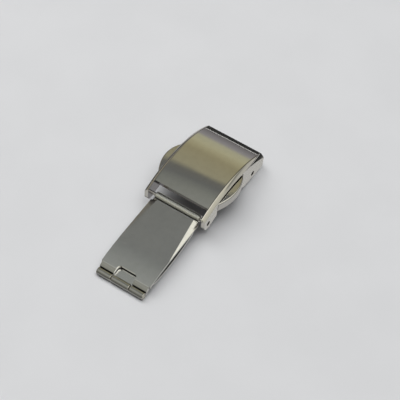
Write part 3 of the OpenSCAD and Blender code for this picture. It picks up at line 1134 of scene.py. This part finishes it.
@dataclass
class Buttons(Assembly):
    """The two push buttons: half-moon caps that stand in the openings of the side walls."""

    cover: Cover = field(default_factory=Cover)
    middle: float = 7.7
    out: float = 1.4
    height: float = 1.9
    drop: float = 1.08
    foot: float = -1.0
    side_play: float = 0.08
    inner_reach: float = 1.0
    rim_steps: int = 48
    top_spin: Turn = (70.0, 40.0, 80)
    top_tilt: float = 3.5
    top_y: float = 4.0
    top_round: float = 0.32
    softness: float = 0.05
    stop_reach: float = 0.5
    stop_gap: float = 0.08
    seat: Triple = (3.11, 6.01, 2.41)

    TOP_LEAN, SIDE_LEAN = 0.8, 0.3

    def _plan(self) -> list[Point]:
        """Plan of the left cap: a stop inside the wall, and a half-moon that stands out of it.

        Returns:
            Its corners in order.
        """
        cover, x = self.cover, self.middle
        half_gap = (cover.notch[1] - cover.notch[0]) / 2
        r = (half_gap**2 + self.out**2) / (2 * self.out)
        side, stop = half_gap - self.side_play, half_gap + self.stop_reach
        inner, stop_y = cover.inner_half - self.inner_reach, cover.inner_half - self.stop_gap
        reach = math.degrees(math.asin(side / r))
        centre = (0.0, cover.width / 2 + self.out - r)
        rim = [(x + a, y) for a, y in arc(centre, r, 90.0 - reach, 90.0 + reach, self.rim_steps)]
        foot = [(x - stop, inner), (x + stop, inner), (x + stop, stop_y), (x + side, stop_y)]
        return [*foot, *rim, (x - side, stop_y), (x - stop, stop_y)]

    def cap(self) -> Piece:
        """Models the left cap.

        Returns:
            A half-moon whose top follows the cover's arch.
        """
        cover, middle = self.cover, self.middle
        top = cover.crown_h + 2 * cover.cut
        piece = Bench.prism("left_button_cap", self._plan(), self.foot, top, Axis.UP)
        top_r, inner_y, rim_y = cover.arch_r - self.drop, self.top_y, cover.width / 2 + self.out
        low_r, fall = top_r - self.height, (rim_y - inner_y) * math.tan(math.radians(self.top_tilt))
        section = [(low_r, inner_y), (top_r - fall, inner_y), (top_r, rim_y), (low_r, rim_y)]
        centre = (cover.crown_x, cover.crown_h - cover.arch_r)
        Bench.weld(piece, Weld.TRIM, Bench.spun("cap_form", section, centre, *self.top_spin))
        length, seat_y, seat_top = self.seat
        low = (middle - length, cover.inner_half - self.inner_reach - cover.cut, self.foot)
        high = (middle + length, seat_y, seat_top)
        Bench.weld(piece, Weld.CUT, Bench.block("slide_seat", low, high))
        Bench.round_edges(piece, self._on_rim, self.top_round, ARC)
        Bench.soften(piece, self.softness, ROUND)
        return piece

    def _on_rim(self, middle: Vector, normals: list[Vector]) -> bool:
        """Whether an edge lies between a cap's top and its outer face.

        Args:
            middle: the edge's middle.
            normals: normals of its two faces.

        Returns:
            True for the rim that stands out of the wall.
        """
        side, top = sorted(n.z for n in normals)
        outside = middle.y > self.cover.width / 2 + CLOSE
        return outside and top > self.TOP_LEAN and abs(side) < self.SIDE_LEAN

    def build(self) -> None:
        """Models and fits both caps."""
        left = self.cap()
        right = Bench.mirrored(left, "right_button_cap")
        for piece, body in ((left, "left_button"), (right, "right_button")):
            self.fit(piece, Level.COVER, body, Steel.BUTTON, "button_steel", f"{body}_cap")


@dataclass
class MiddleBlade(Assembly):
    """The flat blade with rolled barrels at both ends, and the far hinge pin that is fixed in it.

    Side views are drawn with the distance from the front hinge along -X. The handles shape the curves
    beside the bend and the far lip, and are offsets from them. A leaf cut has its width and its slope
    in degrees.
    """

    length: float = 19.7
    width: float = 11.1
    sheet: float = 0.6
    barrel_r: float = 0.75
    front_l: float = 10.3
    rear_l: float = 10.7
    knuckle_l: float = 4.0
    knuckle_lip: float = 0.18
    play: float = 0.15
    plate_low: float = 0.3
    rise: float = 0.069
    neck: float = 1.3
    pin_r: float = 0.35
    pin_play: float = 0.05
    pin_round: float = 0.12
    pin_short: float = 0.2
    seam_start: float = 0.45
    seam_floor: float = -0.06
    seam_wall: float = 0.05
    front_lip: float = 0.93
    flat_end: float = 12.0
    flat_run: float = 2.4
    bend: Point = (17.95, 1.08)
    bend_handles: tuple[Point, Point] = ((-1.6, 0.12), (0.2, -0.04))
    far_lip: Point = (18.93, 0.64)
    lip_handle: Point = (-0.4, 0.24)
    far_seam: tuple[Point, Point] = ((0.04, 0.12), (0.2, 0.08))
    under_end: Point = (0.2, -0.42)
    under_handle: Point = (18.3, 0.1)
    under_run: float = 0.4
    under_sag: float = 0.02
    under_steps: int = 12
    notch_start: float = 17.0
    notch_corner: float = 0.8
    leaf: Point = (0.96, 11.5)
    leaf_cuts: tuple[Point, ...] = ((1.3, 19.5), (1.03, 25.0))
    leaf_room: Point = (2.0, 1.5)
    softness: float = 0.07
    clear: Triple = (25.0, 8.0, 3.0)

    BEND_LEAN, SEAM_LOW = 0.5, -0.3

    def top(self, u: float) -> float:
        """Height of the plate's top above the line of hinges, at a distance from the front hinge."""
        return self.plate_low + (u - 1.0) * self.rise

    def _side_outline(self) -> list[Point]:
        """Side view of the sheet, from its seam at the front barrel to its seam at the far barrels.

        Returns:
            Its corners, along the top and back along the underside.
        """
        flat, bend, lip = self.flat_end, self.bend, self.far_lip
        before, after = (shift(bend, handle) for handle in self.bend_handles)
        run = flat + self.flat_run
        upper = [(self.seam_start, self.seam_floor), (self.front_lip - self.seam_wall, self.seam_floor)]
        upper += [(u, self.top(u)) for u in (self.front_lip, self.neck, flat)]
        upper += curve(upper[-1], (run, self.top(run)), before, bend, LONG)[1:]
        upper += curve(bend, after, shift(lip, self.lip_handle), lip, ARC)[1:]
        upper += [(lip[0] + u, v) for u, v in self.far_seam]
        end = (lip[0] + self.under_end[0], self.under_end[1])
        bent = (bend[0] - self.under_run, bend[1] - self.sheet)
        start = (before[0], self.top(before[0]) - self.sheet - self.under_sag)
        lower = curve(end, self.under_handle, bent, start, self.under_steps)
        lower += [(u, self.top(u) - self.sheet) for u in (flat, self.seam_start)]
        return [(-u, v) for u, v in upper + lower]

    def _leaf_tool(self, s: int, width: float, tilt: float) -> Piece:
        """Room over a slanting facet that starts wide at the front hinge and runs out along the edge.

        Args:
            s: side of the middle plane.
            width: its width at the front.
            tilt: its slope, in degrees.

        Returns:
            The tool.
        """
        (start, end), (reach, room) = self.leaf, self.leaf_room
        half, v = self.width / 2, self.top(start)
        inner, outer = s * (half - width), s * (half - width + reach)
        fall = reach * math.tan(math.radians(tilt))
        section = [(inner, v), (outer, v - fall), (outer, v + room), (inner, v + room)]
        tool = Bench.outline("leaf_tool", [(-start, y, z) for y, z in section])
        run = (start - end, s * width, self.top(end) - v)
        bpy.ops.mesh.extrude_region_move(TRANSFORM_OT_translate={"value": run})
        Bench.close(tool)
        return tool

    def sheet_plate(self) -> Piece:
        """Models the sheet between the barrels.

        Returns:
            The sheet with its neck, its leaf-shaped facets and its fingers beside the notch.
        """
        half, corner, notch = self.width / 2, self.notch_corner, self.knuckle_l / 2 + self.play
        far, wide, high = self.clear
        piece = Bench.prism("middle_blade", self._side_outline(), -half, half)
        plan = [(-far, -notch), (-far, notch)]
        plan += arc((-self.notch_start - corner, notch - corner), corner, 90.0, 0.0, ARC)
        plan += arc((-self.notch_start - corner, corner - notch), corner, 0.0, -90.0, ARC)
        Bench.weld(piece, Weld.CUT, Bench.prism("knuckle_notch", plan, -high, high, Axis.UP))
        front_step = ("neck_step", self.front_l, -self.neck, high)
        rear_step = ("finger_step", self.rear_l, -far, -self.bend[0])
        for s in SIDES:
            for name, length, rear_x, front_x in (front_step, rear_step):
                low_y, high_y = sorted((s * length / 2, s * wide))
                step = Bench.block(name, (rear_x, low_y, -high), (front_x, high_y, high))
                Bench.weld(piece, Weld.CUT, step)
            facets = [self._leaf_tool(s, width, tilt) for width, tilt in self.leaf_cuts]
            Bench.weld(piece, Weld.CUT, *facets)
        Bench.soften(piece, self.softness)
        return self.dress(
            piece,
            Steel.BLADE,
            # Painted shade on the undersides.
            (Steel.SHADED, Bench.is_under),
            # Painted shade on the fingers' bend.
            (Steel.KNUCKLE, self._in_bend),
            # Painted shade in the seams.
            (Steel.BORE, self._in_seam),
        )

    def _in_bend(self, centre: Vector, normal: Vector) -> bool:
        """Whether a face belongs to the fingers' bend down to the far barrels, darkened as painted shade.
        """
        return -centre.x > self.bend[0] + CLOSE and normal.z > self.BEND_LEAN

    def _in_seam(self, centre: Vector, normal: Vector) -> bool:
        """Whether a face lies in the seam between the sheet and a barrel, where shade is painted."""
        u = -centre.x
        return (u < self.front_lip - HAIR or u > self.far_lip[0] + HAIR) and centre.z > self.SEAM_LOW

    def blade(self) -> Piece:
        """Models the blade.

        Returns:
            The sheet and its three barrels.
        """
        side, end, r = self.knuckle_l / 2 + self.play, self.rear_l / 2, self.barrel_r
        half, bore = self.front_l / 2, self.pin_r + self.pin_play
        front = Bench.barrel("front_barrel", 0.0, -half, half, r, bore)
        pieces = [self.sheet_plate(), self.dress(front, Steel.BARREL, (Steel.MIRROR, Bench.on_lip))]
        for low, high in ((side, end), (-end, -side)):
            bore = self.pin_r + HAIR
            knuckle = Bench.barrel("knuckle", -self.length, low, high, r, bore, self.knuckle_lip)
            # Painted shade on the knuckles, their rounded ends left bright.
            pieces.append(self.dress(knuckle, Steel.KNUCKLE, (Steel.MIRROR, Bench.on_lip)))
        return Bench.gather("middle_blade", pieces)

    def pin(self) -> Piece:
        """Models the far hinge pin.

        Returns:
            A rod with rounded ends.
        """
        length = self.rear_l - self.pin_short
        piece = Bench.rod("rear_hinge_pin", (-self.length, 0.0, 0.0), self.pin_r, length)
        Bench.soften(piece, self.pin_round, ROUND)
        return piece

    def build(self) -> None:
        """Models and fits the blade and its pin."""
        self.fit(self.blade(), Level.BLADES, "middle_blade", Steel.BLADE, "blade_steel", "middle_blade")
        self.fit(self.pin(), Level.BLADES, "middle_blade", Steel.PIN, "pin_steel", "rear_hinge_pin")


@dataclass
class InnerBlade(Assembly):
    """The bowed blade folded under the middle one, with its window, middle barrel and bracelet loop.

    The window has its place, its length and its width. A bore has its radius and its tool's length.
    """

    length: float = 19.7
    width: float = 10.8
    sheet: float = 0.5
    bow_r: float = 28.0
    bow_drop: float = 1.63
    bow_x: float = 8.3
    bow_steps: int = 60
    start: float = 3.0
    end: float = 16.5
    overlap: float = 0.2
    knuckle_l: float = 4.0
    knuckle_lip: float = 0.18
    barrel_r: float = 0.75
    barrel_bore: float = 0.4
    window: Triple = (7.7, 4.0, 5.2)
    window_span: Point = (-4.0, 2.0)
    loop: Point = (0.5, -1.7)
    loop_r: float = 0.7
    loop_l: float = 8.4
    loop_bore: Point = (0.35, 20.0)
    tongue_low: float = -0.5
    tongue_start: float = 1.0
    tongue_short: float = 0.3
    softness: float = 0.06

    DOWN = 270.0

    def low(self, u: float) -> float:
        """Height of the bow's underside at a distance from the front hinge."""
        return self.bow_r - self.bow_drop - math.sqrt(self.bow_r**2 - (u - self.bow_x) ** 2)

    def _bow(self) -> Piece:
        """Models the plain bowed sheet.

        Returns:
            The sheet from its cranked end to its tongue.
        """
        r, half = self.bow_r, self.width / 2
        first, last = (math.degrees(math.asin((self.bow_x - u) / r)) for u in (self.end, self.start))
        section = [(r, -half), (r, half), (r - self.sheet, half), (r - self.sheet, -half)]
        centre = (-self.bow_x, r - self.bow_drop)
        return Bench.spun("inner_blade", section, centre, self.DOWN + first, last - first, self.bow_steps)

    def _tongue(self) -> list[Point]:
        """Side view of the tongue that carries the middle barrel.

        Returns:
            Its corners, along the underside and back along the top.
        """
        root, tip = self.end - self.tongue_start, self.length - self.tongue_short
        lower = [(root, self.low(root)), (self.end, self.low(self.end)), (tip, self.tongue_low)]
        return [(-u, v) for u, v in lower] + [(-u, v + self.sheet) for u, v in reversed(lower)]

    def _arm(self) -> list[Point]:
        """Side view of the cranked end, whose underside touches the loop.

        Returns:
            Its corners, along the underside and back along the top.
        """
        u, v = self.start + self.overlap, self.low(self.start + self.overlap)
        reach = (u + self.loop[0], v - self.loop[1])
        span = math.hypot(*reach)
        angle = math.atan2(reach[1], reach[0]) + math.asin(self.loop_r / span)
        run = math.sqrt(span**2 - self.loop_r**2)
        c, s = math.cos(angle), math.sin(angle)
        arm = [(-u, v), (-u + run * c, v - run * s)]
        return arm + [(x + self.sheet * s, z + self.sheet * c) for x, z in reversed(arm)]

    def blade(self) -> Piece:
        """Models the blade.

        Returns:
            The bowed sheet with window, tongue, barrel, cranked end and loop.
        """
        side, loop = self.knuckle_l / 2, (self.loop[0], 0.0, self.loop[1])
        piece = self._bow()
        Bench.weld(
            piece,
            Weld.JOIN,
            Bench.prism("tongue", self._tongue(), -side, side),
            Bench.prism("arm", self._arm(), -self.loop_l / 2, self.loop_l / 2),
            Bench.rod("loop", loop, self.loop_r, self.loop_l),
        )
        (x, long, wide), (low, high) = self.window, self.window_span
        Bench.weld(
            piece,
            Weld.CUT,
            Bench.rod("loop_bore", loop, *self.loop_bore),
            Bench.block("window", (-x - long / 2, -wide / 2, low), (-x + long / 2, wide / 2, high)),
        )
        Bench.soften(piece, self.softness)
        barrel = Bench.barrel(
            "middle_barrel", -self.length, -side, side, self.barrel_r, self.barrel_bore, self.knuckle_lip
        )
        # Painted shade on the middle barrel, its rounded ends left bright.
        self.dress(barrel, Steel.KNUCKLE, (Steel.MIRROR, Bench.on_lip))
        # Painted shade on the undersides.
        self.dress(piece, Steel.BLADE, (Steel.SHADED, Bench.is_under))
        return Bench.gather("inner_blade", [piece, barrel])

    def build(self) -> None:
        """Models and fits the blade."""
        self.fit(self.blade(), Level.BLADES, "inner_blade", Steel.BLADE, "blade_steel", "inner_blade")


class Latch:
    """The latch under the cover, carried over from the CAD: frame, slides, rivets, guides, springs."""

    FINISHES = {
        # Painted shade on the frame and slides.
        ("latch_frame", "latch_slide"): Steel.INNER,
        ("_spring",): Steel.SPRING,
        ("rivets", "guides"): Steel.PIN,
    }

    def build(self) -> None:
        """Gives the carried-over solids their finish."""
        for name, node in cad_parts.items():
            for endings, steel in self.FINISHES.items():
                if name.endswith(endings):
                    node.data.materials.clear()
                    node.data.materials.append(material(steel))
                    LOG.info("%s: %s", name, steel.value.name)


# Stage


@dataclass
class Studio:
    """Pale floor, one soft lamp, the world and the camera.

    The camera's fields are its bearing, its height and its roll in degrees, its distance from the foot
    of the front hinge in millimetres, its focal length in image widths, and how far the view's middle
    lies from that foot. The floor and the lamp are in metres. Each side of the mirrored room has where
    it starts and where it is full, by how far a direction leans that way.
    """

    azimuth: float = -58.76
    elevation: float = 54.38
    roll: float = 2.89
    distance: float = 300.0
    focal: float = 3.812
    aim: Point = (0.01461, 0.01096)
    sensor: float = 36.0
    clip: Point = (0.01, 10.0)
    floor_size: float = 1.6
    floor_drop: float = 0.00002
    floor_tones: tuple[Triple, Triple] = ((0.70, 0.70, 0.705), (0.72, 0.72, 0.725))
    floor_cloud: Point = (60.0, 3.0)
    floor_step: Point = (0.3, 0.7)
    floor_rough: float = 0.9
    lamp_size: float = 0.65
    lamp_place: Triple = (0.12, 0.69, 0.70)
    lamp_power: float = 2.8
    dome_power: float = 2.7
    dome_tones: tuple[Triple, Triple] = (grey(0.03), (0.98, 0.99, 1.0))
    dome_rise: Point = (0.66, 0.98)
    bar_tone: Triple = grey(0.06)
    bar_lean: Point = (0.85, 0.52)
    bar_edge: Point = (0.12, 0.34)
    backdrop: tuple[float, ...] = (0.78, 0.78, 0.79, 1.0)
    front_side: Point = (-0.1, 0.25)
    near_side: Point = (0.05, 0.35)
    near_middle: Point = (0.42, 0.56)
    far_side: Point = (0.42, 0.55)
    seam_sides: tuple[Point, Point] = ((-0.28, -0.16), (0.10, 0.24))
    seam_share: float = 0.85
    seam_tone: Triple = (0.08, 0.07, 0.055)
    horizon: Point = (-0.004, 0.004)

    def camera(self) -> None:
        """Places the camera."""
        az, el, roll = (math.radians(v) for v in (self.azimuth, self.elevation, self.roll))
        right = Vector((math.cos(az), math.sin(az), 0.0))
        ahead = Vector((-math.sin(az) * math.cos(el), math.cos(az) * math.cos(el), -math.sin(el)))
        up = right.cross(ahead)
        level = right * math.cos(roll) + up * math.sin(roll)
        over = up * math.cos(roll) - right * math.sin(roll)
        place = Vector((HINGE_X, 0.0, 0.0)) - ahead * self.distance
        look = (ahead + level * self.aim[0] + over * self.aim[1]).normalized()
        side = look.cross(over).normalized()
        over = side.cross(look)
        data = bpy.data.cameras.new("view")
        data.sensor_width = self.sensor
        data.lens = self.sensor * self.focal
        data.clip_start, data.clip_end = self.clip
        camera = bpy.data.objects.new("view", data)
        turn = Matrix((side, over, -look)).transposed().to_4x4()
        camera.matrix_world = Matrix.Translation(place * MM) @ turn
        bpy.context.scene.collection.objects.link(camera)
        bpy.context.scene.camera = camera

    def floor(self) -> None:
        """Makes the pale floor, which the polished steel doesn't mirror."""
        Bench.rest()
        bpy.ops.mesh.primitive_plane_add(size=self.floor_size, location=(0.0, 0.0, -self.floor_drop))
        floor = Bench.settle("floor")
        surface = bpy.data.materials.new("pale_floor")
        surface.use_nodes = True
        graph = Graph(surface.node_tree)
        place = graph.add("ShaderNodeTexCoord", output="Object")
        cloud = graph.noise(place, *self.floor_cloud).smooth(*self.floor_step)
        look = {"Base Color": graph.mix(cloud, *self.floor_tones), "Roughness": self.floor_rough}
        shader = graph.add("ShaderNodeBsdfPrincipled", None, look)
        graph.add("ShaderNodeOutputMaterial", None, {"Surface": shader})
        floor.data.materials.append(surface)
        floor.visible_glossy = False

    @staticmethod
    def _above(graph: Graph, height: Value) -> tuple[Value, ...]:
        """Colours above the horizon, by height.

        Args:
            graph: the world's nodes.
            height: height of the direction, 1 straight up.

        Returns:
            The rear, the front, the near side ahead, the near side's middle, and the far side.
        """
        rear = graph.ramp(
            height, (0.00, (0.20, 0.19, 0.20)), (0.05, (0.23, 0.22, 0.23)), (0.15, (0.30, 0.29, 0.30)),
            (0.23, (0.44, 0.43, 0.31)), (0.36, (0.47, 0.45, 0.30)), (0.46, (0.40, 0.37, 0.235)),
            (0.56, (0.33, 0.30, 0.19)), (0.78, (0.34, 0.32, 0.22)), (0.835, (0.155, 0.155, 0.14)),
            (0.88, (0.145, 0.15, 0.145)), (0.93, (0.22, 0.23, 0.21)), (1.00, (0.30, 0.31, 0.29)),
        )
        front = graph.ramp(
            height, (0.0, (0.12, 0.12, 0.10)), (0.45, (0.34, 0.34, 0.30)), (0.80, (0.56, 0.56, 0.50)),
            (1.0, (0.36, 0.36, 0.33)),
        )
        ahead = graph.ramp(
            height, (0.0, (0.30, 0.30, 0.27)), (0.30, (0.58, 0.57, 0.50)), (0.60, (0.66, 0.64, 0.54)),
            (0.80, (0.75, 0.73, 0.62)), (0.86, (1.3, 1.27, 1.15)),
        )
        middle = graph.ramp(
            height, (0.0, (0.55, 0.54, 0.50)), (0.25, (0.50, 0.49, 0.44)), (0.38, (0.27, 0.27, 0.24)),
            (0.46, (0.25, 0.25, 0.21)), (0.54, (0.64, 0.62, 0.52)), (0.75, (0.80, 0.78, 0.66)),
            (0.81, (1.3, 1.27, 1.12)),
        )
        far = graph.ramp(
            height, (0.0, (0.30, 0.27, 0.20)), (0.32, (0.29, 0.26, 0.20)), (0.48, (0.13, 0.13, 0.12))
        )
        return rear, front, ahead, middle, far

    @staticmethod
    def _below(graph: Graph, depth: Value) -> Value:
        """Colours under the horizon, by depth: a thin pale line between dark ones, then grey."""
        return graph.ramp(
            depth, (0.0, (0.20, 0.19, 0.20)), (0.024, (0.16, 0.15, 0.16)), (0.029, grey(0.03)),
            (0.038, grey(0.03)), (0.041, grey(1.2)), (0.049, grey(1.2)), (0.053, grey(0.03)),
            (0.20, grey(0.05)), (0.45, (0.42, 0.415, 0.40)), (0.80, (0.47, 0.465, 0.45)),
            (0.86, (0.47, 0.465, 0.45)), (0.93, grey(0.12)),
        )

    def _room(self, graph: Graph, east: Value, north: Value, height: Value) -> Value:
        """Colour of the room that the polished steel mirrors: soft bands of grey and olive.

        Args:
            graph: the world's nodes.
            east: how far the direction leans to +X.
            north: how far it leans to +Y, the clasp's left.
            height: how far it leans upwards.

        Returns:
            The colour.
        """
        rear, front, ahead, middle, far = self._above(graph, height)
        near = graph.mix(east.smooth(*self.near_middle), ahead, middle)
        tint = graph.mix((-east).smooth(*self.front_side), rear, front)
        tint = graph.mix((-north).smooth(*self.near_side), tint, near)
        tint = graph.mix(north.smooth(*self.far_side), tint, far)
        start, end = (north.smooth(*side) for side in self.seam_sides)
        tint = graph.mix(start * (1.0 - end) * self.seam_share, tint, self.seam_tone)
        return graph.mix(height.smooth(*self.horizon), self._below(graph, -height), tint)

    def _sky(self, graph: Graph, east: Value, height: Value) -> Value:
        """Colour of the soft light from above, with a dark bar across it.

        Args:
            graph: the world's nodes.
            east: how far the direction leans to +X.
            height: how far it leans upwards.

        Returns:
            The colour.
        """
        dome = graph.mix(height.smooth(*self.dome_rise), *self.dome_tones)
        bar = abs(east * self.bar_lean[0] + height * self.bar_lean[1])
        return graph.mix(bar.smooth(*self.bar_edge), self.bar_tone, dome)

    def world(self) -> None:
        """Makes the world: a room for mirrors, soft light for all else, and a pale backdrop."""
        world = bpy.data.worlds.new("room")
        bpy.context.scene.world = world
        world.use_nodes = True
        graph = Graph(world.node_tree)
        ray = graph.add("ShaderNodeTexCoord", output="Generated")
        east, north, height = (
            graph.add("ShaderNodeSeparateXYZ", None, {"Vector": ray}, axis) for axis in "XYZ"
        )
        mirror, plain, pale = (
            graph.add("ShaderNodeBackground", None, {"Color": colour, "Strength": strength})
            for colour, strength in (
                (self._room(graph, east, north, height), 1.0),
                (self._sky(graph, east, height), self.dome_power),
                (self.backdrop, 1.0),
            )
        )
        glossy, seen, scattered = (
            graph.add("ShaderNodeLightPath", output=name)
            for name in ("Is Glossy Ray", "Is Camera Ray", "Diffuse Depth")
        )
        direct = glossy * (1.0 - scattered.smooth(0.0, 1.0))
        both = graph.add("ShaderNodeMixShader", None, {0: direct, 1: plain, 2: mirror})
        both = graph.add("ShaderNodeMixShader", None, {0: seen, 1: both, 2: pale})
        graph.add("ShaderNodeOutputWorld", None, {"Surface": both})

    def lamp(self) -> None:
        """Hangs one large soft lamp to the upper left."""
        data = bpy.data.lights.new("softbox", "AREA")
        data.shape = "DISK"
        data.size = self.lamp_size
        data.energy = self.lamp_power
        lamp = bpy.data.objects.new("softbox", data)
        lamp.location = place = Vector(self.lamp_place)
        lamp.rotation_euler = (-place).to_track_quat("-Z", "Y").to_euler()
        lamp.visible_glossy = False
        bpy.context.scene.collection.objects.link(lamp)

    def build(self) -> None:
        """Sets the stage."""
        bpy.context.scene.view_settings.view_transform = "Standard"
        self.floor()
        self.world()
        self.lamp()
        self.camera()


def main() -> None:
    """Builds the clasp piece by piece, then the stage."""
    logging.basicConfig(level=logging.INFO, format="%(message)s")
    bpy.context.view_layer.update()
    cover = Cover()
    cover.build()
    Buttons(cover=cover).build()
    MiddleBlade().build()
    InnerBlade().build()
    Latch().build()
    Studio().build()


if __name__ == "__main__":
    main()
